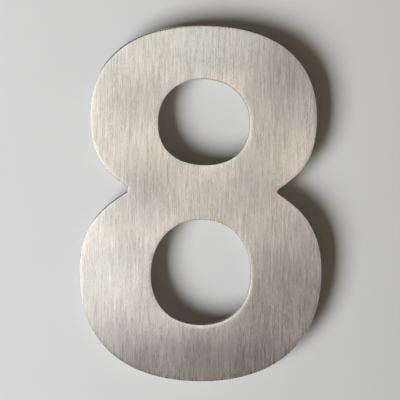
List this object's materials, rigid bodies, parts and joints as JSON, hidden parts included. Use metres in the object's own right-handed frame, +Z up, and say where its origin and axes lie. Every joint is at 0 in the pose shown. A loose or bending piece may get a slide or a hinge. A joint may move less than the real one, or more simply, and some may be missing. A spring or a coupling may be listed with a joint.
{
  "type": "house number",
  "caption": "Flat digit eight of brushed stainless steel for a house wall, held off the wall on hidden welded studs with spacer sleeves.",
  "frame": {"origin": "on the wall plane, at the digit's mid height on its centre line, which is the centre of the stud pattern", "axes": "+Z up, -Y out of the wall towards the reader, +X to the reader's right, +Y into the wall along the studs"},
  "size_m": [0.1022, 0.036, 0.15],
  "materials": {
    "brushed_plate": "satin, brushed straight up and down",
    "stud_steel": "bright rolled thread",
    "spacer_metal": "matt, turned"
  },
  "bodies": {
    "root": {"number_plate": "brushed_plate", "mounting_studs": "stud_steel", "standoff_spacers": "spacer_metal"}
  },
  "joints": []
}
